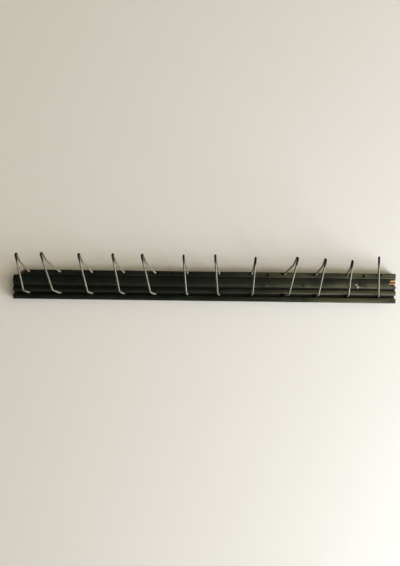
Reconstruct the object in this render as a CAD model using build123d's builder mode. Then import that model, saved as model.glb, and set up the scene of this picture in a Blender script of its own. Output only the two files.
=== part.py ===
"""Wall hook rack: a moulded wooden rail with a row of bent wire hooks that swing sideways on upright pins.

Millimetres. The origin is the centre of the rail's back face, on the wall.
+X runs along the rail, the front faces -Y and +Z is up.
"""
import os
from math import atan2, cos, radians, sin, tan

from build123d import *

os.makedirs("parts", exist_ok=True)

# Row of hooks: each one's angle at rest in degrees, + towards +X, its tip's drop below the pattern,
# and where its front leg bends in to the foot, out from the pivot axis and up from the lower eye
HOOK_PITCH = 100.0
END_MARGIN = 50.0
HOOK_ANGLES = [-4, -22.5, -14, -13.5, -23, -7, -11.5, 1, 17, 4.5, -9.5, -23]
TIP_DROPS = [0, -3, -1, -2, -2, 0, -2, 4, 2, 6, 10, -2]
BEND_REACHES = [42, 40, 33, 38, 36, 29, 36, 30, 38, 32, 31, 36]
BEND_RISES = [7, 9, 4, 7, 5, 4, 5, 4.5, 4, 2.5, 3, 4]
SWING_ANGLE_LIMIT = 28.0

# Rail section, from its top edge down: strip and groove heights
TOP_STRIP_HEIGHT = 16.5
STEP_HEIGHT = 2.5
WIDE_STRIP_HEIGHT = 29.5
MIDDLE_GROOVE_HEIGHT = 6.0
LOW_STRIP_HEIGHT = 14.0
HOOK_GROOVE_HEIGHT = 9.5
BOTTOM_STRIP_HEIGHT = 15.0

# Rail section: how far each strip stands out from the wall, its bulge, and how deep the grooves are
TOP_STRIP_FACE = 22.0
TOP_ROUND = 3.0
TOP_STRIP_LOWER_ROUND = 2.5
WIDE_STRIP_CROWN = 24.5
WIDE_STRIP_BULGE = 2.4
NARROW_STRIP_CROWN = 23.5
NARROW_STRIP_BULGE = 1.6
STEP_DEPTH = 0.8
MIDDLE_GROOVE_DEPTH = 4.2
HOOK_GROOVE_DEPTH = 8.1

# Hook wire and its pivots
WIRE = 5.5
PIN = 2.5
RUN_CLEARANCE = 0.05
EYE_WALL = 2.95
EYE_RIM = 0.25
UPPER_EYE_DROP = 5.75
LOWER_EYE_RISE = 1.4
PIVOT_SETBACK = 7.0
SEAT_CLEARANCE = 0.3
POCKET_CLEARANCE = 1.6
NOTCH_WIDTH = 12.0
NOTCH_SILL = 0.5
UPPER_PIN_BITE = 6.0
LOWER_PIN_BITE = 8.5
PIN_SINK = 1.2
PIN_CHAMFER = 0.4

# Hook shape in its own upright plane: reach out from the pivot axis, rise above the eye that it belongs to
NECK_REACH = 9.0
KINK_REACH = 65.5
KINK_RISE = 28.5
TIP_REACH = 90.5
TIP_RISE = 48.2
TIP_GAP = 6.8
TIP_FLAT = 0.6
FOOT_REACH = 12.0
NECK_RADIUS = 8.0
KINK_RADIUS = 25.0
BEND_RADIUS = 9.0

# Wall screws
SCREW_SPACING = 965.0
SCREW_ABOVE_EDGE = 6.5
SCREW_SEAT = 21.3
SCREW_HEAD = 10.0
SCREW_HEAD_RISE = 2.4
SCREW_SHANK = 5.0
SCREW_THREAD = 4.2
SCREW_REACH = 34.0
SCREW_POINT = 6.0
SCREW_CROSS_LENGTH = 5.6
SCREW_CROSS_WIDTH = 1.5
SCREW_CROSS_DEPTH = 1.9
SCREW_CROSS_CORE = 3.4
SCREW_CLEARANCE = 0.3
SPOT_CLEARANCE = 0.5

# Empty fixing holes along the top strip, with mouths drawn out downwards
FIXING_SPACING = 300.0
FIXING_COUNT = 4
FIXING_SHIFT = 50.0
FIXING_HOLE = 5.6
FIXING_MOUTH_LENGTH = 9.5
FIXING_MOUTH_WIDTH = 7.0
FIXING_MOUTH_DEPTH = 4.0

# Old holes in the wide strip: one from a nail, one from a screw beside the right wall screw
NAIL_HOLE = 3.6
NAIL_HOLE_X = 311.0
NAIL_ABOVE_EDGE = 8.0
OLD_SCREW_HOLE = 4.4
OLD_SCREW_ACROSS = 5.2
OLD_SCREW_UP = 8.0
OLD_HOLE_DEPTH = 9.0

# Broken top left corner and chipped right end
BREAK_TOP_LENGTH = 44.0
BREAK_LOW_LENGTH = 24.0
BREAK_SLANT = 20.0
CHIP_LENGTH = 22.0
CHIP_DEPTH = 5.0
CHIP_HEIGHT = 14.5
CHIP_BELOW_EDGE = 0.8
SPLIT_LENGTH = 21.0
SPLIT_DEPTH = 9.0
SPLIT_HEIGHT = 4.8

# Places worked out from the sizes above
hook_count = len(HOOK_ANGLES)
rail_length = (hook_count - 1) * HOOK_PITCH + 2 * END_MARGIN
rail_left = -rail_length / 2
rail_right = rail_length / 2
hook_xs = [rail_left + END_MARGIN + i * HOOK_PITCH for i in range(hook_count)]

section_heights = [
    TOP_STRIP_HEIGHT,
    STEP_HEIGHT,
    WIDE_STRIP_HEIGHT,
    MIDDLE_GROOVE_HEIGHT,
    LOW_STRIP_HEIGHT,
    HOOK_GROOVE_HEIGHT,
    BOTTOM_STRIP_HEIGHT,
]
rail_top = sum(section_heights) / 2
rail_bottom = -rail_top
top_strip_low = rail_top - TOP_STRIP_HEIGHT
wide_strip_high = top_strip_low - STEP_HEIGHT
wide_strip_low = wide_strip_high - WIDE_STRIP_HEIGHT
low_strip_high = wide_strip_low - MIDDLE_GROOVE_HEIGHT
low_strip_low = low_strip_high - LOW_STRIP_HEIGHT
bottom_strip_high = low_strip_low - HOOK_GROOVE_HEIGHT

eye_radius = PIN / 2 + RUN_CLEARANCE + EYE_WALL
eye_height = WIRE + 2 * EYE_RIM
pivot_depth = TOP_STRIP_FACE - PIVOT_SETBACK
upper_z = rail_top - UPPER_EYE_DROP
lower_z = (low_strip_low + bottom_strip_high) / 2 + LOWER_EYE_RISE
pocket_radius = eye_radius + POCKET_CLEARANCE
wide_edge = WIDE_STRIP_CROWN - WIDE_STRIP_BULGE
narrow_edge = NARROW_STRIP_CROWN - NARROW_STRIP_BULGE
step_floor = min(wide_edge, TOP_STRIP_FACE - TOP_STRIP_LOWER_ROUND) - STEP_DEPTH
groove_floor = narrow_edge - HOOK_GROOVE_DEPTH
rail_front = max(TOP_STRIP_FACE, WIDE_STRIP_CROWN, NARROW_STRIP_CROWN)

limit = radians(SWING_ANGLE_LIMIT)
slot_width = 2 * (PIVOT_SETBACK * tan(limit) + WIRE / 2 / cos(limit) + SEAT_CLEARANCE)
slot_width = max(slot_width, 2 * (eye_radius + SEAT_CLEARANCE))
slot_height = eye_height + 2 * SEAT_CLEARANCE
slot_back = pivot_depth - eye_radius - SEAT_CLEARANCE
notch_z = bottom_strip_high + NOTCH_SILL + NOTCH_WIDTH / 2
upper_pin_low = upper_z - slot_height / 2 - UPPER_PIN_BITE
upper_pin_high = rail_top - PIN_SINK
lower_pin_low = rail_bottom + PIN_SINK
lower_pin_high = notch_z + NOTCH_WIDTH / 2 + LOWER_PIN_BITE

screw_z = wide_strip_low + SCREW_ABOVE_EDGE
dome_radius = (SCREW_HEAD**2 / 4 + SCREW_HEAD_RISE**2) / (2 * SCREW_HEAD_RISE)
fixing_z = (rail_top + top_strip_low) / 2
screw_xs = {"left": -SCREW_SPACING / 2, "right": SCREW_SPACING / 2}
fixing_xs = [FIXING_SHIFT + (i - (FIXING_COUNT - 1) / 2) * FIXING_SPACING for i in range(FIXING_COUNT)]
in_front = rail_front + WIRE


def front_plane(depth):
    """The upright plane that lies this far in front of the wall."""
    return Plane.XZ.offset(depth)


def turn_at(before, corner, after):
    """The angle that a wire turns through at one corner of its path."""
    arriving = Vector(*corner) - Vector(*before)
    leaving = Vector(*after) - Vector(*corner)
    return radians(arriving.get_angle(leaving))


# Rail
with BuildPart() as rail:
    with BuildSketch(Plane.YZ.offset(rail_left)):
        with BuildLine():
            Polyline((-TOP_STRIP_FACE + TOP_ROUND, rail_top), (0, rail_top), (0, rail_bottom))
            Line((0, rail_bottom), (-narrow_edge, rail_bottom))
            # bottom strip
            ThreePointArc(
                (-narrow_edge, rail_bottom),
                (-NARROW_STRIP_CROWN, (rail_bottom + bottom_strip_high) / 2),
                (-narrow_edge, bottom_strip_high),
            )
            # groove that takes the hooks' lower eyes
            Polyline(
                (-narrow_edge, bottom_strip_high),
                (-groove_floor, bottom_strip_high),
                (-groove_floor, low_strip_low),
                (-narrow_edge, low_strip_low),
            )
            # low strip
            ThreePointArc(
                (-narrow_edge, low_strip_low),
                (-NARROW_STRIP_CROWN, (low_strip_low + low_strip_high) / 2),
                (-narrow_edge, low_strip_high),
            )
            # middle groove
            Polyline(
                (-narrow_edge, low_strip_high),
                (-narrow_edge + MIDDLE_GROOVE_DEPTH, low_strip_high),
                (-narrow_edge + MIDDLE_GROOVE_DEPTH, wide_strip_low),
                (-wide_edge, wide_strip_low),
            )
            # wide strip
            ThreePointArc(
                (-wide_edge, wide_strip_low),
                (-WIDE_STRIP_CROWN, (wide_strip_low + wide_strip_high) / 2),
                (-wide_edge, wide_strip_high),
            )
            # step under the top strip
            Polyline(
                (-wide_edge, wide_strip_high),
                (-step_floor, wide_strip_high),
                (-step_floor, top_strip_low),
                (-TOP_STRIP_FACE + TOP_STRIP_LOWER_ROUND, top_strip_low),
            )
            # top strip
            RadiusArc(
                (-TOP_STRIP_FACE + TOP_STRIP_LOWER_ROUND, top_strip_low),
                (-TOP_STRIP_FACE, top_strip_low + TOP_STRIP_LOWER_ROUND),
                TOP_STRIP_LOWER_ROUND,
            )
            Line(
                (-TOP_STRIP_FACE, top_strip_low + TOP_STRIP_LOWER_ROUND),
                (-TOP_STRIP_FACE, rail_top - TOP_ROUND),
            )
            RadiusArc(
                (-TOP_STRIP_FACE, rail_top - TOP_ROUND),
                (-TOP_STRIP_FACE + TOP_ROUND, rail_top),
                TOP_ROUND,
            )
        make_face()
    extrude(amount=rail_length)

    # slots for the upper eyes, wide enough for the wire to swing
    with BuildSketch(front_plane(in_front)):
        with Locations(*[(x, upper_z) for x in hook_xs]):
            Rectangle(slot_width, slot_height)
    extrude(amount=slot_back - in_front, mode=Mode.SUBTRACT)

    # round pockets in the hook groove's floor, behind the lower eyes
    with BuildSketch(Plane.XY.offset(bottom_strip_high)):
        with Locations(*[(x, -pivot_depth) for x in hook_xs]):
            Circle(pocket_radius)
    extrude(amount=HOOK_GROOVE_HEIGHT, mode=Mode.SUBTRACT)

    # round notches in the low strip's lower edge, over the lower eyes
    with BuildSketch(front_plane(in_front)):
        with Locations(*[(x, notch_z) for x in hook_xs]):
            Circle(NOTCH_WIDTH / 2)
    extrude(amount=groove_floor - in_front, mode=Mode.SUBTRACT)

    # pin holes, down from the top edge and up from the bottom edge
    with BuildSketch(Plane.XY.offset(rail_top)):
        with Locations(*[(x, -pivot_depth) for x in hook_xs]):
            Circle(PIN / 2)
    extrude(amount=upper_pin_low - rail_top, mode=Mode.SUBTRACT)
    with BuildSketch(Plane.XY.offset(rail_bottom)):
        with Locations(*[(x, -pivot_depth) for x in hook_xs]):
            Circle(PIN / 2)
    extrude(amount=lower_pin_high - rail_bottom, mode=Mode.SUBTRACT)

    # empty fixing holes, right through, with their drawn-out mouths
    with BuildSketch(front_plane(in_front)):
        with Locations(*[(x, fixing_z) for x in fixing_xs]):
            Circle(FIXING_HOLE / 2)
    extrude(amount=-in_front, mode=Mode.SUBTRACT)
    with BuildSketch(front_plane(in_front)):
        with Locations(*[(x, fixing_z) for x in fixing_xs]):
            SlotOverall(FIXING_MOUTH_LENGTH, FIXING_MOUTH_WIDTH, rotation=90)
    extrude(amount=TOP_STRIP_FACE - FIXING_MOUTH_DEPTH - in_front, mode=Mode.SUBTRACT)

    # wall screw holes and the flat spots that their heads sit on
    with BuildSketch(front_plane(in_front)):
        with Locations(*[(x, screw_z) for x in screw_xs.values()]):
            Circle(SCREW_SHANK / 2 + SCREW_CLEARANCE)
    extrude(amount=-in_front, mode=Mode.SUBTRACT)
    with BuildSketch(front_plane(in_front)):
        with Locations(*[(x, screw_z) for x in screw_xs.values()]):
            Circle(SCREW_HEAD / 2 + SPOT_CLEARANCE)
    extrude(amount=SCREW_SEAT - in_front, mode=Mode.SUBTRACT)

    # old blind holes
    with BuildSketch(front_plane(in_front)):
        with Locations((NAIL_HOLE_X, wide_strip_low + NAIL_ABOVE_EDGE)):
            Circle(NAIL_HOLE / 2)
        with Locations((screw_xs["right"] + OLD_SCREW_ACROSS, screw_z + OLD_SCREW_UP)):
            Circle(OLD_SCREW_HOLE / 2)
    extrude(amount=WIDE_STRIP_CROWN - OLD_HOLE_DEPTH - in_front, mode=Mode.SUBTRACT)

    # broken top left corner, which goes further in at the front than at the back
    with BuildSketch(front_plane(TOP_STRIP_FACE)):
        with BuildLine():
            Polyline(
                (rail_left - BREAK_SLANT, rail_top),
                (rail_left - BREAK_SLANT, top_strip_low),
                (rail_left + BREAK_LOW_LENGTH, top_strip_low),
                (rail_left + BREAK_TOP_LENGTH, rail_top),
                close=True,
            )
        make_face()
    break_run = Vector(-BREAK_SLANT, TOP_STRIP_FACE, 0)
    extrude(amount=break_run.length, dir=break_run, mode=Mode.SUBTRACT)

    # chip at the wide strip's right end and the split that runs in under it, both deepest at the end
    chip_high = wide_strip_high - CHIP_BELOW_EDGE
    torn = [
        (chip_high - CHIP_HEIGHT, CHIP_HEIGHT, CHIP_LENGTH, CHIP_DEPTH),
        (chip_high - CHIP_HEIGHT - SPLIT_HEIGHT, SPLIT_HEIGHT, SPLIT_LENGTH, SPLIT_DEPTH),
    ]
    for low, height, length, depth in torn:
        with BuildSketch(Plane.XY.offset(low)):
            with BuildLine():
                Polyline(
                    (rail_right - length, -WIDE_STRIP_CROWN),
                    (rail_right, -WIDE_STRIP_CROWN + depth),
                    (rail_right, -in_front),
                    (rail_right - length, -in_front),
                    close=True,
                )
            make_face()
        extrude(amount=height, mode=Mode.SUBTRACT)
rail.part.label = "rail"
export_step(rail.part, "parts/rail.step")


# Hooks: one bent wire each, with an upright eye at both ends
hook_shapes = zip(hook_xs, HOOK_ANGLES, TIP_DROPS, BEND_REACHES, BEND_RISES)
for number, (hook_x, swing, drop, bend_reach, bend_rise) in enumerate(hook_shapes, start=1):
    turn = radians(swing)
    hook_plane = Plane(
        origin=(hook_x, -pivot_depth, 0),
        x_dir=(sin(turn), -cos(turn), 0),
        z_dir=(-cos(turn), -sin(turn), 0),
    )
    bend = (bend_reach, lower_z + bend_rise)
    tip_front = (TIP_REACH, upper_z + TIP_RISE - drop)
    lean = atan2(tip_front[0] - bend[0], tip_front[1] - bend[1])
    tip_back = (tip_front[0] - TIP_GAP * cos(lean), tip_front[1] + TIP_GAP * sin(lean))
    kink = (KINK_REACH, upper_z + KINK_RISE - drop / 2)
    # the tip's two corners share its width between them, less a short flat
    back_turn = turn_at(kink, tip_back, tip_front)
    front_turn = turn_at(tip_back, tip_front, bend)
    tip_radius = (TIP_GAP - TIP_FLAT) / (tan(back_turn / 2) + tan(front_turn / 2))

    with BuildPart() as hook:
        with BuildLine(hook_plane) as wire_line:
            FilletPolyline(
                (0, upper_z),
                (NECK_REACH, upper_z),
                kink,
                tip_back,
                tip_front,
                bend,
                (FOOT_REACH, lower_z),
                (0, lower_z),
                radius=[NECK_RADIUS, KINK_RADIUS, tip_radius, tip_radius, BEND_RADIUS, NECK_RADIUS],
            )
        wire_path = wire_line.wire()
        with BuildSketch(Plane(origin=wire_path @ 0, z_dir=wire_path % 0)):
            Circle(WIRE / 2)
        sweep(path=wire_path)
        for eye_z in (upper_z, lower_z):
            with BuildSketch(Plane.XY.offset(eye_z - eye_height / 2)):
                with Locations((hook_x, -pivot_depth)):
                    Circle(eye_radius)
            extrude(amount=eye_height)
        for eye_z in (upper_z, lower_z):
            with BuildSketch(Plane.XY.offset(eye_z - eye_height / 2)):
                with Locations((hook_x, -pivot_depth)):
                    Circle(PIN / 2 + RUN_CLEARANCE)
            extrude(amount=eye_height, mode=Mode.SUBTRACT)
    hook.part.label = f"hook_{number:02d}"
    export_step(hook.part, f"parts/hook_{number:02d}.step")


# Pivot pins: the upper ones driven down from the top edge, the lower ones up from the bottom edge
for number, hook_x in enumerate(hook_xs, start=1):
    with BuildPart() as upper_pin:
        with BuildSketch(Plane.XY.offset(upper_pin_low)):
            with Locations((hook_x, -pivot_depth)):
                Circle(PIN / 2)
        extrude(amount=upper_pin_high - upper_pin_low)
        chamfer(upper_pin.edges().group_by(Axis.Z)[0], PIN_CHAMFER)
    upper_pin.part.label = f"upper_pin_{number:02d}"
    export_step(upper_pin.part, f"parts/upper_pin_{number:02d}.step")

    with BuildPart() as lower_pin:
        with BuildSketch(Plane.XY.offset(lower_pin_low)):
            with Locations((hook_x, -pivot_depth)):
                Circle(PIN / 2)
        extrude(amount=lower_pin_high - lower_pin_low)
        chamfer(lower_pin.edges().group_by(Axis.Z)[-1], PIN_CHAMFER)
    lower_pin.part.label = f"lower_pin_{number:02d}"
    export_step(lower_pin.part, f"parts/lower_pin_{number:02d}.step")


# Wall screws: a low domed head with a cross recess, a plain shank in the rail, a thinner thread in the wall
for side, screw_x in screw_xs.items():
    screw_axis = Plane(origin=(screw_x, 0, screw_z), x_dir=(1, 0, 0), z_dir=(0, 0, 1))
    with BuildPart() as screw:
        with BuildSketch(screw_axis):
            with BuildLine():
                RadiusArc((0, -SCREW_SEAT - SCREW_HEAD_RISE), (SCREW_HEAD / 2, -SCREW_SEAT), -dome_radius)
                Polyline(
                    (SCREW_HEAD / 2, -SCREW_SEAT),
                    (SCREW_SHANK / 2, -SCREW_SEAT),
                    (SCREW_SHANK / 2, 0),
                    (SCREW_THREAD / 2, 0),
                    (SCREW_THREAD / 2, SCREW_REACH - SCREW_POINT),
                    (0, SCREW_REACH),
                    (0, -SCREW_SEAT - SCREW_HEAD_RISE),
                )
            make_face()
        revolve(axis=Axis((screw_x, 0, screw_z), (0, 1, 0)))
        with BuildSketch(front_plane(SCREW_SEAT + SCREW_HEAD_RISE)):
            with Locations((screw_x, screw_z)):
                Rectangle(SCREW_CROSS_LENGTH, SCREW_CROSS_WIDTH)
                Rectangle(SCREW_CROSS_WIDTH, SCREW_CROSS_LENGTH)
                Circle(SCREW_CROSS_CORE / 2)
        extrude(amount=-SCREW_CROSS_DEPTH, mode=Mode.SUBTRACT)
    screw.part.label = f"wall_screw_{side}"
    export_step(screw.part, f"parts/wall_screw_{side}.step")
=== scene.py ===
"""Dresses the wall hook rack: worn black paint on moulded wood, dull wire hooks with dipped tips."""
from math import cos, pi, radians, sin
from random import Random

import bmesh
import bpy
from mathutils import Euler, Matrix, Vector


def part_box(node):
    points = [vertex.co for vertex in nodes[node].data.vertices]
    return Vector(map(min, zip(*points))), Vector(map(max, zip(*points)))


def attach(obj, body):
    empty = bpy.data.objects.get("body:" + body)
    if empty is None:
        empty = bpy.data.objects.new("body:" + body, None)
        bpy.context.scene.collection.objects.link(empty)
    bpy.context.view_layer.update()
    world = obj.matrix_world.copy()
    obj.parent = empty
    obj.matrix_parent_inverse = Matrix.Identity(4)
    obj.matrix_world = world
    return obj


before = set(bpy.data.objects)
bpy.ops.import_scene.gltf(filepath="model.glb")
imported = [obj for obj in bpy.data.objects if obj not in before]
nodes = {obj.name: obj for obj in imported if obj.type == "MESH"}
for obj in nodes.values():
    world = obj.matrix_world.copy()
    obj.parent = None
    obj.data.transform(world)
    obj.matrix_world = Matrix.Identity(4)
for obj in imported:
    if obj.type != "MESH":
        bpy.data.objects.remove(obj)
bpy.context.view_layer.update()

rail_low, rail_high = (Vector(corner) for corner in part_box("rail"))
hooks = sorted(name for name in nodes if name.startswith("hook_"))
pins = sorted(name for name in nodes if "_pin_" in name)

# Camera that fits the photograph
IMAGE_HEIGHT_PX = 566
FOCAL_PX = 409
SENSOR = 36.0
CAMERA_PLACE = Vector((-0.002, -1.306, 0.023))
CAMERA_PITCH = radians(-0.58)
CAMERA_YAW = radians(-0.44)
CAMERA_ROLL = radians(0.72)

# Stage and lights, in metres and watts; the room's light is LEAN * x + RISE * z + STRENGTH, at least LEAST
STAGE_SIZE = 9.0
WALL_GAP = 0.0005
SHEET_TOUCH = 0.0012
FLOOR_DROP = 2.8
WALL_COLOUR = (0.87, 0.86, 0.83, 1)
FLOOR_COLOUR = (0.80, 0.79, 0.76, 1)
SIDE_LIGHT_PLACE = (3.63, -1.65, -1.32)
SIDE_LIGHT_AIM = (0.53, 0, 0.55)
SIDE_LIGHT_SIZE = 1.6
SIDE_LIGHT_POWER = 105
LOW_LIGHT_PLACE = (3.40, -0.77, -2.40)
LOW_LIGHT_AIM = (1.18, 0, 0)
LOW_LIGHT_SIZE = 1.1
LOW_LIGHT_POWER = 168
LIGHT_COLOUR = (0.83, 0.88, 1.0)
FILL_COLOUR = (1.0, 0.885, 0.635, 1)
FILL_STRENGTH = -1.00
FILL_LEAN = 3.75
FILL_RISE = 0.42
FILL_LEAST = 0.025

# Rail: where the wear, the painted sheen and the painted shade lie; a pair of places says where a mark starts
# and where it is full
SHEEN_AND_WEAR_SPAN = (0.0, 0.62)
WIDE_HIGH_IN = (0.004, 0.022)
WIDE_HIGH_OUT = (0.0300, 0.0285)
WIDE_LOW_CENTRE = 0.0040
WIDE_LOW_HALF = 0.0090
TOP_STRIP = (0.0290, 0.0310)
STRIP_EDGE_DROPS = (0.0165, 0.0662, 0.0930)
STRIP_EDGE_HALF = 0.0016
STRIP_EDGE_FRONT = (-0.0185, -0.0200)
TOP_FACE_DROPS = (0.0022, 0.0004)
TOP_FACE_FRONT = (-0.0165, -0.0205)
# painted shade under the strips' edges and round the old holes
SHADED_EDGE_DROPS = (0.0484, 0.0687)
SHADED_EDGE_HALF = 0.0026
GROOVE_SHADE = (-0.0207, -0.0195)
GROOVE_DROPS = (0.006, 0.010)
OLD_HOLES = ((0.4872, 0.0117), (0.3110, 0.0060))
OLD_HOLE_SHADE = 0.0039
SCUFF_PLACE = 0.395
SCUFF_HALF = 0.022
SCUFF_RISE = (-0.0400, -0.0450)
SCREW_PATCHES = ((0.4750, 0.0112), (0.4778, 0.0088))
SCREW_PATCH_SIZE = 0.0027
BREAK_END = (-0.5549, -0.5555)
BREAK_RISE = (0.028, 0.0295)
LEDGE_END = (-0.571, -0.573)
LEDGE_RISE = 0.030
LEDGE_HALF = 0.001
CHIP_START = (0.577, 0.578)
CHIP_TORN = (0.5890, 0.5915)
CHIP_TEAR = 0.020
CHIP_LOW_EDGE = (0.0124, 0.0120)
CHIP_TONGUE = 0.0134
CHIP_TONGUE_HALF = 0.0020
CHIP_HOLLOW_LOW = (0.0146, 0.0156)
CHIP_HOLLOW_HIGH = (0.0204, 0.0194)

# Hooks: where the upper leg parts from the front one, out from the pivot and up, and where the wear, the
# painted light and the painted shade lie
PIVOT_PITCH = 0.100
PIVOT_DEPTH = 0.015
LEG_SLOPE = 1.465
LEG_SPLIT = (-0.043, -0.037)
LEFT_HOOKS = (0.18, -0.02)
DUST_REACH = (0.012, 0.020)
BRIGHT_END_REACH = (0.022, 0.012)
FOOT_REACH = (0.036, 0.026)
LOWER_EYE_DEPTH = (-0.0265, -0.0238)
LOWER_EYE_RISE = (0.010, 0.0)
UPPER_EYE_DEPTH = (-0.0226, -0.0208)
TIP_DARKENING = (0.72, 0.88)

# Dipped hook tips, back from the foremost point
DIP_DEPTH = 0.0085
DIP_RINGS = (0.0055, 0.0070, DIP_DEPTH)
DIP_SWELL = 0.00020
DIP_EDGE_SWELL = 0.00006
WELD_DISTANCE = 1e-6

# Wall screws: grimy recess in the head, thread behind the wall
RECESS_SIZE = 0.0026
RECESS_RIM = 0.0022
RECESS_DEPTH = (-0.0232, -0.0229)
THREAD_START = 0.0030
THREAD_END = 0.0315
THREAD_PITCH = 0.0018
THREAD_CREST = 0.0026
THREAD_ROOT = 0.0019
THREAD_STEPS = 20
THREAD_HALF = 0.30 * THREAD_PITCH
POINT_LENGTH = 0.006

# Splinters: the broken face's front edge, low and high, and its back edge, low; then the chip's tongues
BREAK_FACE = ((-0.576, -0.022, 0.030), (-0.556, -0.022, 0.0465), (-0.596, 0.0, 0.030))
BREAK_SPLINTERS = 9
BREAK_SEED = 7
BREAK_BACK = (0.1, 0.9)
BREAK_LENGTH = (0.006, 0.012)
BREAK_LIFT = (-0.0005, 0.0015)
BREAK_GIRTH = (0.0006, 0.0011)
SPLINTER_BITE = Vector((0.003, 0, 0))
SPLINTER_RINGS = 9
SPLINTER_SIDES = 6
SPLINTER_TAPER = 0.7
SPLINTER_UNEVEN = (0.75, 1.15)
SPLINTER_SWAY = (-0.25, 0.25)
SPLINTER_FLATNESS = 0.55
SPLINTER_POINT = 0.00005
TONGUE_SEED = 40
CHIP_TONGUES = (
    (0.0254, 0.5890, 0.0100, 0.0010),
    (0.0236, 0.5860, 0.0125, 0.0012),
    (0.0217, 0.5845, 0.0135, 0.0010),
    (0.0142, 0.5795, 0.0200, 0.0010),
    (0.0130, 0.5805, 0.0180, 0.0010),
)

# Small filled nail head on the wide strip
NAIL_PLACE = (0.199, 0.004)
NAIL_RADIUS = 0.0018
NAIL_RISE = 0.0003
NAIL_CROWN = 0.9
NAIL_PROFILE = ((0.35, 1.0), (0.72, 1.0), (0.92, 0.6), (1.0, 0.0), (0.9, -1.5))
NAIL_SIDES = 20
NAIL_DENTS = (0.96, 1.0)
NAIL_SEED = 3

# Colours: the rail's paint and wood, dark and pale
PAINT = ((0.0036, 0.0054, 0.0046, 1), (0.0084, 0.0114, 0.0088, 1))
# olive haze on the paint: dusty wear and a painted sheen, laid on more to the right
PAINT_HAZE_AND_SHEEN = (0.108, 0.112, 0.046, 1)
PAINT_RUBBED = (0.125, 0.090, 0.045, 1)
# pale strip edges: worn paint and a painted highlight
PAINT_EDGE_AND_HIGHLIGHT = (0.200, 0.185, 0.140, 1)
# near black: painted shade and grime
PAINT_SHADE_AND_GRIME = (0.003, 0.003, 0.002, 1)
TOP_WEAR = (0.110, 0.062, 0.030, 1)
SCUFF_COLOUR = (0.150, 0.060, 0.035, 1)
PATCH_COLOUR = (0.44, 0.31, 0.24, 1)
OLD_WOOD = ((0.085, 0.048, 0.026, 1), (0.190, 0.120, 0.068, 1))
RED_WOOD = ((0.120, 0.056, 0.032, 1), (0.300, 0.160, 0.090, 1))
FRESH_WOOD = ((0.230, 0.095, 0.030, 1), (0.470, 0.265, 0.098, 1))
# chip colours; the hollow's and the split's dark browns are painted shade
CHIP_HOLLOW_SHADE = (0.080, 0.030, 0.006, 1)
CHIP_TONGUE_WOOD = (0.600, 0.370, 0.220, 1)
CHIP_SPLIT_SHADE = (0.030, 0.013, 0.006, 1)
RED_SPLINTER = ((0.125, 0.060, 0.034, 1), (0.300, 0.165, 0.095, 1))
PALE_SPLINTER = ((0.230, 0.105, 0.036, 1), (0.480, 0.290, 0.122, 1))

# Colours: the hooks, and the small metal pieces as dark, pale and rust
ZINC = ((0.096, 0.094, 0.070, 1), (0.167, 0.163, 0.124, 1))
ZINC_STAIN = (0.135, 0.116, 0.075, 1)
# dust on the upper legs: darker on the right hooks as painted shade, paler on the left ones as painted light
DUST_SHADED = ((0.076, 0.068, 0.044, 1), (0.140, 0.124, 0.081, 1))
DUST_LIT = ((0.108, 0.102, 0.062, 1), (0.185, 0.174, 0.108, 1))
# pale zinc: scoured wear and a painted highlight on the upper legs' ends, painted light on the left feet
ZINC_SCOURED_AND_LIT = (0.225, 0.218, 0.172, 1)
# near black: painted shade at the eyes, and the darkening below the tips
ZINC_SHADE_AND_GRIME = (0.010, 0.0095, 0.0075, 1)
DIP = ((0.0022, 0.0021, 0.0018, 1), (0.0100, 0.0094, 0.0078, 1))
BRIGHT_SCREW = ((0.52, 0.51, 0.47, 1), (0.74, 0.73, 0.69, 1), (0.40, 0.32, 0.22, 1))
BLACK_SCREW = ((0.010, 0.010, 0.008, 1), (0.022, 0.022, 0.017, 1), (0.060, 0.040, 0.022, 1))
DARK_STEEL = ((0.030, 0.028, 0.025, 1), (0.075, 0.070, 0.062, 1), (0.050, 0.024, 0.012, 1))
DULL_NAIL = ((0.16, 0.16, 0.14, 1), (0.27, 0.27, 0.24, 1), (0.12, 0.08, 0.05, 1))
RECESS_GRIME = (0.030, 0.028, 0.022, 1)


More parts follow.
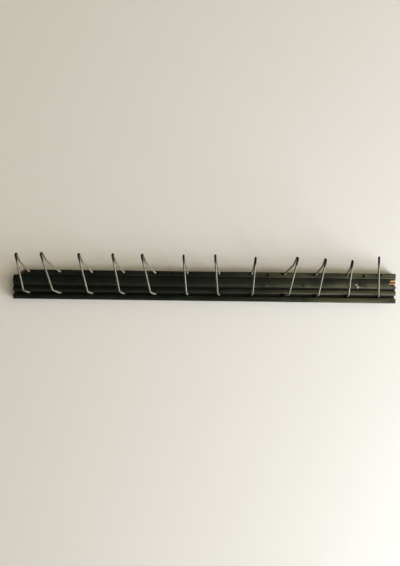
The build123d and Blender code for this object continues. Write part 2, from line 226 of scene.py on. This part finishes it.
class Shader:
    """Builds one material's nodes; an input is a value or another node's output."""

    def __init__(self, name):
        self.material = bpy.data.materials.new(name)
        self.material.use_nodes = True
        self.tree = self.material.node_tree
        self.surface = self.tree.nodes["Principled BSDF"]

    def feed(self, socket, value):
        if isinstance(value, bpy.types.NodeSocket):
            self.tree.links.new(value, socket)
        else:
            socket.default_value = value

    def add(self, kind, output=0, inputs=None, **settings):
        """Adds a node, sets its options and inputs, and gives back one of its outputs."""
        node = self.tree.nodes.new(kind)
        for key, value in settings.items():
            setattr(node, key, value)
        for key, value in (inputs or {}).items():
            self.feed(node.inputs[key], value)
        return node.outputs[output]

    def place(self, kind="Object"):
        return self.add("ShaderNodeTexCoord", kind)

    def axes(self, vector):
        node = self.add("ShaderNodeSeparateXYZ", inputs={0: vector}).node
        return node.outputs[0], node.outputs[1], node.outputs[2]

    def noise(self, vector, scale, detail=4.0, roughness=0.55):
        """Noise whose scale is one number, or three to stretch it."""
        if not isinstance(scale, (int, float)):
            vector = self.add("ShaderNodeMapping", inputs={"Vector": vector, "Scale": scale})
            scale = 1.0
        inputs = {"Vector": vector, "Scale": scale, "Detail": detail, "Roughness": roughness}
        return self.add("ShaderNodeTexNoise", "Fac", inputs)

    def math(self, operation, *values, clamp=False):
        inputs = dict(enumerate(values))
        return self.add("ShaderNodeMath", inputs=inputs, operation=operation, use_clamp=clamp)

    def ramp(self, value, slope, start):
        """The value times a slope, on top of a start."""
        return self.math("MULTIPLY_ADD", value, slope, start)

    def times(self, first, *others):
        for other in others:
            first = self.math("MULTIPLY", first, other)
        return first

    def most(self, first, *others):
        for other in others:
            first = self.math("MAXIMUM", first, other)
        return first

    def band(self, value, zero, one):
        """Eases from 0 at one value to 1 at the other, which may be the lower."""
        ends = {"Value": value, "From Min": min(zero, one), "From Max": max(zero, one)}
        ends["To Min"], ends["To Max"] = (0.0, 1.0) if zero < one else (1.0, 0.0)
        return self.add("ShaderNodeMapRange", inputs=ends, interpolation_type="SMOOTHSTEP")

    def stripe(self, value, centre, half):
        away = self.math("ABSOLUTE", self.math("SUBTRACT", value, centre))
        return self.band(away, half, half * 0.3)

    def spot(self, x, z, centre, size, ragged):
        """A round patch on the rail's front, its rim broken up by a noise."""
        across = self.math("SUBTRACT", x, centre[0])
        up = self.math("SUBTRACT", z, centre[1])
        away = self.math("SQRT", self.math("ADD", self.times(across, across), self.times(up, up)))
        rough_away = self.math("ADD", away, self.times(self.math("SUBTRACT", ragged, 0.5), size * 1.6))
        return self.band(rough_away, size * 1.1, size * 0.8)

    def mix(self, factor, a, b):
        node = self.tree.nodes.new("ShaderNodeMix")
        node.data_type = "RGBA"
        colours = [socket for socket in node.inputs if socket.type == "RGBA"]
        for socket, value in zip([node.inputs["Factor"]] + colours, (factor, a, b)):
            self.feed(socket, value)
        return next(socket for socket in node.outputs if socket.type == "RGBA")

    def bump(self, height, strength, distance):
        inputs = {"Height": height, "Strength": strength, "Distance": distance}
        return self.add("ShaderNodeBump", inputs=inputs)

    def finish(self, **sockets):
        for key, value in sockets.items():
            self.feed(self.surface.inputs[key.replace("_", " ")], value)
        return self.material


# Materials
def fibre_colours(s, place, dark, pale):
    """Bare wood: fine fibres along the rail, in two browns."""
    fibre = s.noise(place, (35, 900, 900), detail=5)
    return fibre, s.mix(s.band(fibre, 0.38, 0.62), dark, pale)


def rail_paint():
    """Satin black paint, thin on edges and streaked with use, with a painted sheen to the right, painted
    highlights on the strips' lower edges and painted shade in the grooves; the wood is bare behind and where
    it broke.
    """
    s = Shader("rail_black_paint")
    place = s.place()
    x, y, z = s.axes(place)
    normal_x, normal_y, normal_z = s.axes(s.add("ShaderNodeNewGeometry", "True Normal"))
    grain = s.noise(place, (7, 380, 380), detail=6)
    streak = s.noise(place, (11, 150, 150), detail=4)
    cloud = s.noise(place, 13, detail=4)
    ragged = s.noise(place, 190, detail=4)
    to_right = s.band(x, *SHEEN_AND_WEAR_SPAN)
    wide_high = s.times(s.band(z, *WIDE_HIGH_IN), s.band(z, *WIDE_HIGH_OUT))
    wide_low = s.stripe(z, WIDE_LOW_CENTRE, WIDE_LOW_HALF)
    top_strip = s.band(z, *TOP_STRIP)

    # paint, paler and olive towards the right, along the wide strip's lower part and on the top strip, and
    # darker on the wide strip's upper half: dusty wear with painted sheen and painted shade; browner where it
    # is handled most, to the right
    paint = s.mix(s.band(cloud, 0.35, 0.68), *PAINT)
    streaky = s.ramp(s.band(streak, 0.40, 0.68), 0.36, 0.12)
    worn = s.ramp(s.band(cloud, 0.36, 0.64), 0.42, streaky)
    zone = s.ramp(wide_high, -0.8, s.ramp(s.most(wide_low, top_strip), 0.35, 1.0))
    # painted sheen: the haze grows to the right, where the light falls, and is held back on the wide strip's
    # upper half as painted shade
    haze_and_sheen = s.times(worn, s.ramp(to_right, 1.10, 0.03), zone)
    paint = s.mix(haze_and_sheen, paint, PAINT_HAZE_AND_SHEEN)
    handled = s.ramp(to_right, 0.6, 0.10)
    rubbed = s.times(s.band(streak, 0.62, 0.72), s.band(cloud, 0.44, 0.60), handled)
    paint = s.mix(rubbed, paint, PAINT_RUBBED)

    # strip edges pale, more to the right: worn paint and a painted highlight where light from below catches
    # them; the top face worn
    lines = [s.stripe(z, rail_high.z - drop, STRIP_EDGE_HALF) for drop in STRIP_EDGE_DROPS]
    edge = s.times(s.most(*lines), s.band(streak, 0.34, 0.60), s.band(y, *STRIP_EDGE_FRONT))
    paint = s.mix(s.times(edge, s.ramp(to_right, 0.75, 0.08)), paint, PAINT_EDGE_AND_HIGHLIGHT)
    top_front = s.times(s.band(y, *TOP_FACE_FRONT), s.band(ragged, 0.40, 0.60))
    top_streaks = s.times(s.band(streak, 0.50, 0.60), s.band(cloud, 0.40, 0.60))
    top_face = s.band(z, *(rail_high.z - drop for drop in TOP_FACE_DROPS))
    top = s.times(top_face, s.most(top_front, top_streaks))
    paint = s.mix(s.times(top, 0.75), paint, TOP_WEAR)

    # painted shade, with some grime, in the grooves, under the strips' edges and round the old holes
    below_top = s.band(z, *(rail_high.z - drop for drop in GROOVE_DROPS))
    in_groove = s.times(s.band(y, *GROOVE_SHADE), s.band(normal_y, 0.5, 0.1), below_top)
    below_edges = [s.stripe(z, rail_high.z - drop, SHADED_EDGE_HALF) for drop in SHADED_EDGE_DROPS]
    round_holes = [s.spot(x, z, hole, OLD_HOLE_SHADE, ragged) for hole in OLD_HOLES]
    shade_and_grime = s.most(in_groove, *below_edges, *round_holes)
    paint = s.mix(s.times(shade_and_grime, 0.97), paint, PAINT_SHADE_AND_GRIME)

    # marks: scuffed bottom edge and bare patch by the right screw
    scuff = s.times(
        s.stripe(x, SCUFF_PLACE, SCUFF_HALF),
        s.band(z, *SCUFF_RISE),
        s.band(ragged, 0.36, 0.56),
    )
    paint = s.mix(scuff, paint, SCUFF_COLOUR)
    patch = s.most(*[s.spot(x, z, centre, SCREW_PATCH_SIZE, ragged) for centre in SCREW_PATCHES])
    paint = s.mix(patch, paint, PATCH_COLOUR)

    # bare wood: the back, the two ends, the broken corner and the chip
    fibre, old_wood = fibre_colours(s, place, *OLD_WOOD)
    patchy = s.ramp(cloud, 0.6, ragged)
    behind = s.times(s.band(normal_y, 0.7, 0.95), s.band(patchy, 0.62, 0.74))
    ends = s.times(s.band(s.math("ABSOLUTE", normal_x), 0.9, 0.99), s.band(cloud, 0.42, 0.60), 0.7)
    surface = s.mix(s.most(behind, ends), paint, old_wood)
    _, red_wood = fibre_colours(s, place, *RED_WOOD)
    broken = s.times(
        s.band(x, *BREAK_END),
        s.band(normal_x, -0.2, -0.4),
        s.band(normal_z, 0.2, 0.4),
        s.band(z, *BREAK_RISE),
    )
    ledge = s.times(
        s.band(x, *LEDGE_END),
        s.band(normal_z, 0.8, 0.95),
        s.stripe(z, LEDGE_RISE, LEDGE_HALF),
    )
    broken = s.most(broken, ledge)
    surface = s.mix(broken, surface, red_wood)
    tongues = s.noise(place, (28, 300, 300), detail=3)
    fresh_wood = s.mix(s.band(tongues, 0.44, 0.58), *FRESH_WOOD)
    # painted shade: a dark hollow and a dark split below the pale tongue, on the chip's flat face
    hollow = s.times(s.band(z, *CHIP_HOLLOW_LOW), s.band(z, *CHIP_HOLLOW_HIGH))
    fresh_wood = s.mix(hollow, fresh_wood, CHIP_HOLLOW_SHADE)
    fresh_wood = s.mix(s.stripe(z, CHIP_TONGUE, CHIP_TONGUE_HALF), fresh_wood, CHIP_TONGUE_WOOD)
    fresh_wood = s.mix(s.band(z, *CHIP_LOW_EDGE), fresh_wood, CHIP_SPLIT_SHADE)
    chipped = s.times(
        s.band(x, *CHIP_START),
        s.band(normal_x, 0.05, 0.12),
        s.band(normal_y, -0.8, -0.9),
        s.band(s.ramp(tongues, CHIP_TEAR, x), *CHIP_TORN),
    )
    surface = s.mix(chipped, surface, fresh_wood)

    bare = s.most(behind, ends, broken, chipped, patch)
    gloss = s.ramp(ragged, 0.20, s.ramp(streak, 0.18, 0.23))
    matt = s.ramp(shade_and_grime, 0.24, s.ramp(wide_high, 0.04, s.times(bare, 0.40)))
    ripples = s.ramp(ragged, 0.35, s.ramp(fibre, s.times(bare, 2.0), grain))
    return s.finish(
        Base_Color=surface,
        Roughness=s.math("ADD", gloss, matt, clamp=True),
        Specular_IOR_Level=0.33,
        Normal=s.bump(ripples, 0.35, 0.0007),
    )


def wire_zinc():
    """Dull zinc on drawn wire: mottled and dusty on the upper leg, with painted light on the left hooks'
    upper legs and feet, painted highlights at the upper legs' ends, painted shade at the eyes, and darker
    towards the tip.
    """
    s = Shader("hook_dull_zinc")
    place = s.place()
    x, y, z = s.axes(place)
    _, _, rise = s.axes(s.place("Generated"))
    mottle = s.noise(place, 240, detail=5)
    drawn = s.noise(place, (1400, 1400, 90), detail=3)
    stain = s.noise(place, 60, detail=4)

    # the upper leg lies above a slanting line, out from the pivot and up
    half_pitch = PIVOT_PITCH / 2
    across = s.math("WRAP", s.math("ADD", x, half_pitch), half_pitch, -half_pitch)
    out = s.math("ADD", y, PIVOT_DEPTH)
    reach = s.math("SQRT", s.math("ADD", s.times(across, across), s.times(out, out)))
    above = s.ramp(reach, -LEG_SLOPE, z)
    upper_leg = s.band(above, *LEG_SPLIT)
    lower_leg = s.math("SUBTRACT", 1.0, upper_leg)
    to_left = s.band(x, *LEFT_HOOKS)

    # stained zinc; dust on the upper legs, paler on the left hooks and darker on the right ones as painted
    # light and shade; upper legs' ends pale as wear and a painted highlight, left hooks' feet pale as painted
    # light
    colour = s.mix(s.band(mottle, 0.35, 0.65), *ZINC)
    colour = s.mix(s.times(s.band(stain, 0.58, 0.72), 0.5), colour, ZINC_STAIN)
    patchy = s.band(stain, 0.40, 0.64)
    dust_light_and_shade = s.mix(to_left, s.mix(patchy, *DUST_SHADED), s.mix(patchy, *DUST_LIT))
    dusty = s.times(upper_leg, s.band(reach, *DUST_REACH))
    colour = s.mix(s.times(dusty, 0.9), colour, dust_light_and_shade)
    # painted light: the left hooks' feet pale where light from the right falls on them; the upper legs' ends
    # pale as wear and a painted highlight
    painted_lit_foot = s.times(lower_leg, to_left, s.band(reach, *FOOT_REACH), 0.6)
    scoured_and_lit = s.most(s.times(upper_leg, s.band(reach, *BRIGHT_END_REACH)), painted_lit_foot)
    colour = s.mix(s.times(scoured_and_lit, 0.9), colour, ZINC_SCOURED_AND_LIT)

    # painted shade at both eyes, where the wire goes into the rail's slots and notches, less on the left
    # hooks' lower ones; darker below the dipped tip
    lower_eye = s.times(s.band(y, *LOWER_EYE_DEPTH), s.band(z, *LOWER_EYE_RISE))
    lower_eye = s.times(lower_eye, s.ramp(to_left, -0.8, 1.0))
    eye = s.most(lower_eye, s.band(y, *UPPER_EYE_DEPTH))
    near_tip = s.times(s.band(rise, *TIP_DARKENING), s.ramp(stain, 0.8, 0.35))
    near_tip = s.times(near_tip, s.ramp(upper_leg, -0.6, 1.0))
    grime = s.math("MAXIMUM", eye, near_tip, clamp=True)
    colour = s.mix(grime, colour, ZINC_SHADE_AND_GRIME)
    dull = s.most(grime, dusty, scoured_and_lit)
    return s.finish(
        Base_Color=colour,
        Metallic=s.ramp(dull, -0.65, 0.75),
        Roughness=s.math("ADD", s.ramp(mottle, 0.25, 0.34), s.times(dull, 0.28), clamp=True),
        Normal=s.bump(s.math("ADD", drawn, mottle), 0.18, 0.00025),
    )


def tip_dip():
    """Black dip on the tips, rubbed a little grey on its high spots."""
    s = Shader("tip_black_dip")
    place = s.place()
    orange_peel = s.noise(place, 700, detail=4)
    rubs = s.noise(place, 180, detail=5)
    colour = s.mix(s.band(rubs, 0.56, 0.72), *DIP)
    return s.finish(
        Base_Color=colour,
        Roughness=s.ramp(rubs, 0.30, 0.50),
        Specular_IOR_Level=0.15,
        Normal=s.bump(orange_peel, 0.25, 0.0003),
    )


def metal(name, dark, pale, rust, shine, recess=None):
    """Steel with a mottled coat and brown stains; shine is 1 for new, 0 for dull."""
    s = Shader(name)
    place = s.place()
    mottle = s.noise(place, 420, detail=5)
    stain = s.noise(place, 150, detail=4)
    colour = s.mix(s.band(mottle, 0.35, 0.65), dark, pale)
    colour = s.mix(s.times(s.band(stain, 0.54, 0.68), 0.7), colour, rust)
    if recess:
        x, y, z = s.axes(place)
        deep = s.times(s.spot(x, z, recess, RECESS_SIZE, mottle), s.band(y, *RECESS_DEPTH))
        grime = s.most(deep, s.spot(x, z, recess, RECESS_RIM, mottle))
        colour = s.mix(grime, colour, RECESS_GRIME)
    s.surface.inputs["Metallic"].default_value = 0.85 * shine
    return s.finish(
        Base_Color=colour,
        Roughness=s.ramp(mottle, 0.25, 0.50 - 0.26 * shine),
        Normal=s.bump(mottle, 0.15, 0.0002),
    )


def splinter_wood(name, dark, pale):
    s = Shader(name)
    fibre, colour = fibre_colours(s, s.place(), dark, pale)
    return s.finish(
        Base_Color=colour,
        Roughness=s.ramp(fibre, 0.2, 0.7),
        Normal=s.bump(fibre, 0.5, 0.0004),
    )


# Pieces
def add_piece(name, mesh, material, body, smooth=True):
    mesh.materials.clear()
    mesh.materials.append(material)
    for face in mesh.polygons:
        face.use_smooth = smooth
    piece = bpy.data.objects.new(name, mesh)
    bpy.context.scene.collection.objects.link(piece)
    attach(piece, body)
    return piece


def dress(names, material):
    for name in names:
        slots = nodes[name].data.materials
        slots.clear()
        slots.append(material)


def front_of_rail(x, z):
    """The point and normal of the rail's front at one place along and up."""
    hit, point, normal, _ = nodes["rail"].ray_cast(Vector((x, -1, z)), Vector((0, 1, 0)))
    return (point, normal) if hit else (Vector((x, rail_low.y, z)), Vector((0, -1, 0)))


def tip_coat(hook, material):
    """A dipped tip: the wire's skin beyond the dip line, swelled outwards and closed at the line."""
    pin_low, pin_high = (Vector(corner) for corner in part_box(hook.replace("hook", "upper_pin")))
    pivot = (pin_low + pin_high) / 2
    skin = bmesh.new()
    skin.from_mesh(nodes[hook].data)
    bmesh.ops.remove_doubles(skin, verts=skin.verts, dist=WELD_DISTANCE)
    foremost = max(((vert.co - pivot).xy for vert in skin.verts), key=lambda flat: flat.length)
    outwards = foremost.to_3d().normalized()
    dip_line = pivot + foremost.to_3d() - outwards * DIP_DEPTH
    for depth in DIP_RINGS:
        everything = skin.verts[:] + skin.edges[:] + skin.faces[:]
        line = dip_line + outwards * (DIP_DEPTH - depth)
        bmesh.ops.bisect_plane(
            skin, geom=everything, plane_co=line, plane_no=-outwards, clear_outer=depth == DIP_DEPTH
        )
    skin.normal_update()
    full = DIP_DEPTH - DIP_RINGS[0]
    moves = []
    for vert in skin.verts:
        share = min(1.0, max(0.0, (vert.co - dip_line).dot(outwards) / full))
        moves.append((vert, vert.normal * (DIP_EDGE_SWELL + (DIP_SWELL - DIP_EDGE_SWELL) * share**0.5)))
    for vert, move in moves:
        vert.co += move
    rims = [edge for edge in skin.edges if edge.is_boundary]
    for edge in rims:
        edge.smooth = False
    bmesh.ops.holes_fill(skin, edges=rims, sides=0)
    mesh = bpy.data.meshes.new(f"{hook}_tip_coat")
    skin.to_mesh(mesh)
    skin.free()
    add_piece(mesh.name, mesh, material, f"{hook}_wire")


def screw_thread(screw, material):
    """The ridge that winds round a wall screw's core, from the wall's face to near its point."""
    low, high = (Vector(corner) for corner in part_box(screw))
    axis = (low + high) / 2
    tip = high.y
    turns = (THREAD_END - THREAD_START) / THREAD_PITCH
    count = int(turns * THREAD_STEPS)
    mesh = bpy.data.meshes.new(f"{screw}_thread")
    points = []
    faces = []
    for i in range(count + 1):
        along = THREAD_START + (THREAD_END - THREAD_START) * i / count
        turn = 2 * pi * i / THREAD_STEPS
        narrow = min(1.0, (tip - along) / POINT_LENGTH)
        start = min(1.0, (i + 1) / THREAD_STEPS)
        root = THREAD_ROOT * narrow
        crest = root + (THREAD_CREST - THREAD_ROOT) * start * narrow
        for radius, shift in ((root, -THREAD_HALF), (crest, 0.0), (root, THREAD_HALF)):
            points.append((axis.x + radius * cos(turn), along + shift, axis.z + radius * sin(turn)))
        if i:
            a = 3 * (i - 1)
            b = 3 * i
            faces += [(a + j, a + (j + 1) % 3, b + (j + 1) % 3, b + j) for j in range(3)]
    faces += [(0, 2, 1), (3 * count, 3 * count + 1, 3 * count + 2)]
    mesh.from_pydata(points, [], faces)
    add_piece(mesh.name, mesh, material, "rail", smooth=False)


def nail_head(material):
    """A small driven nail's head, just proud of the wide strip: a flat crown with a rounded, dented rim."""
    point, normal = front_of_rail(*NAIL_PLACE)
    turn = normal.to_track_quat("Z", "Y")
    chance = Random(NAIL_SEED)
    sides = NAIL_SIDES
    points = [point + turn @ Vector((0, 0, NAIL_RISE * NAIL_CROWN))]
    faces = []
    for ring, (radius, rise) in enumerate(NAIL_PROFILE):
        for k in range(sides):
            around = 2 * pi * k / sides
            out = NAIL_RADIUS * radius * chance.uniform(*NAIL_DENTS)
            points.append(point + turn @ Vector((out * cos(around), out * sin(around), NAIL_RISE * rise)))
            a = 1 + sides * ring + k
            b = 1 + sides * ring + (k + 1) % sides
            faces.append((a - sides, b - sides, b, a)[::-1] if ring else (0, b, a)[::-1])
    faces.append(tuple(1 + sides * (len(NAIL_PROFILE) - 1) + k for k in reversed(range(sides))))
    mesh = bpy.data.meshes.new("nail_head")
    mesh.from_pydata(points, [], faces)
    add_piece(mesh.name, mesh, material, "rail")


def splinter(name, root, along, thickness, seed, material):
    """A torn fibre bundle: a six-sided sliver that thins unevenly from its root to its point."""
    chance = Random(seed)
    direction = along.normalized()
    side = direction.cross(Vector((0, 1, 0))).normalized()
    out = direction.cross(side)
    rings = SPLINTER_RINGS
    sides = SPLINTER_SIDES
    points = []
    faces = []
    for i in range(rings):
        share = i / (rings - 1)
        taper = (1 - share) ** SPLINTER_TAPER
        girth = thickness * taper * chance.uniform(*SPLINTER_UNEVEN) + SPLINTER_POINT
        centre = root + along * share + side * chance.uniform(*SPLINTER_SWAY) * thickness
        for k in range(sides):
            turn = 2 * pi * k / sides
            points.append(centre + side * cos(turn) * girth + out * sin(turn) * girth * SPLINTER_FLATNESS)
        if i:
            a = sides * (i - 1)
            b = sides * i
            faces += [(a + k, a + (k + 1) % sides, b + (k + 1) % sides, b + k) for k in range(sides)]
    faces += [tuple(reversed(range(sides))), tuple(sides * (rings - 1) + k for k in range(sides))]
    mesh = bpy.data.meshes.new(name)
    mesh.from_pydata(points, [], faces)
    add_piece(name, mesh, material, "rail", smooth=False)


# Dressing
right_screw_low, right_screw_high = (Vector(corner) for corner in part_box("wall_screw_right"))
right_screw = (right_screw_low + right_screw_high) / 2
zinc = metal("screw_bright_zinc", *BRIGHT_SCREW, shine=0.3, recess=(right_screw.x, right_screw.z))
black_head = metal("screw_black_paint", *BLACK_SCREW, shine=0.1)
dark_steel = metal("pin_dark_steel", *DARK_STEEL, shine=0.5)
dull_nail = metal("nail_dull_grey", *DULL_NAIL, shine=0.4)
dress(["rail"], rail_paint())
dress(hooks, wire_zinc())
dress(pins, dark_steel)
dress(["wall_screw_right"], zinc)
dress(["wall_screw_left"], black_head)
dip = tip_dip()
for hook in hooks:
    tip_coat(hook, dip)
screw_thread("wall_screw_left", dark_steel)
screw_thread("wall_screw_right", zinc)
nail_head(dull_nail)

# splinters: short red ones on the broken corner, paler tongues on the chip
red_splinter = splinter_wood("splinter_red_wood", *RED_SPLINTER)
pale_splinter = splinter_wood("splinter_pale_wood", *PALE_SPLINTER)
low_root, high_root, back_root = (Vector(corner) for corner in BREAK_FACE)
chance = Random(BREAK_SEED)
for i in range(BREAK_SPLINTERS):
    share = (i + 0.5) / BREAK_SPLINTERS
    back = chance.uniform(*BREAK_BACK)
    root = low_root.lerp(high_root, share) + (back_root - low_root) * back
    reach = Vector((-chance.uniform(*BREAK_LENGTH), 0, chance.uniform(*BREAK_LIFT)))
    girth = chance.uniform(*BREAK_GIRTH)
    splinter(f"break_splinter_{i + 1:02d}", root + SPLINTER_BITE, reach, girth, i, red_splinter)
for i, (height, start, length, girth) in enumerate(CHIP_TONGUES):
    root, _ = front_of_rail(start, height)
    far, _ = front_of_rail(start + length, height)
    splinter(f"chip_tongue_{i + 1:02d}", root, far - root, girth, TONGUE_SEED + i, pale_splinter)


# Stage
def backdrop(name, colour, matrix):
    """A plain pale sheet seen from its front only, which lets light through to what lies close against it."""
    half = STAGE_SIZE / 2
    corners = [(-half, -half, 0), (half, -half, 0), (half, half, 0), (-half, half, 0)]
    mesh = bpy.data.meshes.new(name)
    mesh.from_pydata([matrix @ Vector(corner) for corner in corners], [], [(0, 1, 2, 3)])
    sheet = bpy.data.objects.new(name, mesh)
    bpy.context.scene.collection.objects.link(sheet)
    s = Shader(name)
    mesh.materials.append(s.finish(Base_Color=colour, Roughness=0.9))
    touching = s.math("LESS_THAN", s.add("ShaderNodeLightPath", "Ray Length"), SHEET_TOUCH)
    one_sided = s.add("ShaderNodeMixShader", inputs={
        0: s.most(s.add("ShaderNodeNewGeometry", "Backfacing"), touching),
        1: s.surface.outputs[0],
        2: s.add("ShaderNodeBsdfTransparent"),
    })
    s.feed(s.tree.nodes["Material Output"].inputs["Surface"], one_sided)


def soft_light(name, place, target, size, power):
    lamp = bpy.data.lights.new(name, "AREA")
    lamp.shape = "DISK"
    lamp.size = size
    lamp.energy = power
    lamp.color = LIGHT_COLOUR
    thing = bpy.data.objects.new(name, lamp)
    thing.location = place
    thing.rotation_euler = (Vector(target) - Vector(place)).to_track_quat("-Z", "Y").to_euler()
    bpy.context.scene.collection.objects.link(thing)


def room_light():
    """Warm light from the room: nearly all from the right, and a little more from above."""
    world = bpy.data.worlds.new("studio")
    world.use_nodes = True
    tree = world.node_tree
    sky = tree.nodes["Background"]
    sky.inputs["Color"].default_value = FILL_COLOUR
    axes = tree.nodes.new("ShaderNodeSeparateXYZ")
    tree.links.new(tree.nodes.new("ShaderNodeTexCoord").outputs["Generated"], axes.inputs[0])
    rise = tree.nodes.new("ShaderNodeMath")
    rise.operation = "MULTIPLY_ADD"
    tree.links.new(axes.outputs["Z"], rise.inputs[0])
    rise.inputs[1].default_value = FILL_RISE
    rise.inputs[2].default_value = FILL_STRENGTH
    lean = tree.nodes.new("ShaderNodeMath")
    lean.operation = "MULTIPLY_ADD"
    tree.links.new(axes.outputs["X"], lean.inputs[0])
    lean.inputs[1].default_value = FILL_LEAN
    tree.links.new(rise.outputs[0], lean.inputs[2])
    least = tree.nodes.new("ShaderNodeMath")
    least.operation = "MAXIMUM"
    tree.links.new(lean.outputs[0], least.inputs[0])
    least.inputs[1].default_value = FILL_LEAST
    tree.links.new(least.outputs[0], sky.inputs["Strength"])
    bpy.context.scene.world = world


backdrop("wall", WALL_COLOUR, Matrix.Translation((0, WALL_GAP, 0)) @ Matrix.Rotation(radians(90), 4, "X"))
backdrop("floor", FLOOR_COLOUR, Matrix.Translation((0, -STAGE_SIZE / 2, -FLOOR_DROP)))
soft_light("side_light", SIDE_LIGHT_PLACE, SIDE_LIGHT_AIM, SIDE_LIGHT_SIZE, SIDE_LIGHT_POWER)
soft_light("low_light", LOW_LIGHT_PLACE, LOW_LIGHT_AIM, LOW_LIGHT_SIZE, LOW_LIGHT_POWER)
room_light()

camera = bpy.data.cameras.new("camera")
camera.sensor_width = SENSOR
camera.lens = SENSOR * FOCAL_PX / IMAGE_HEIGHT_PX
viewer = bpy.data.objects.new("camera", camera)
aim = Euler((radians(90) + CAMERA_PITCH, 0, -CAMERA_YAW)).to_matrix()
turned = aim @ Matrix.Rotation(CAMERA_ROLL, 3, "Z")
viewer.matrix_world = Matrix.Translation(CAMERA_PLACE) @ turned.to_4x4()
bpy.context.scene.collection.objects.link(viewer)
bpy.context.scene.camera = viewer
bpy.context.scene.view_settings.view_transform = "Standard"
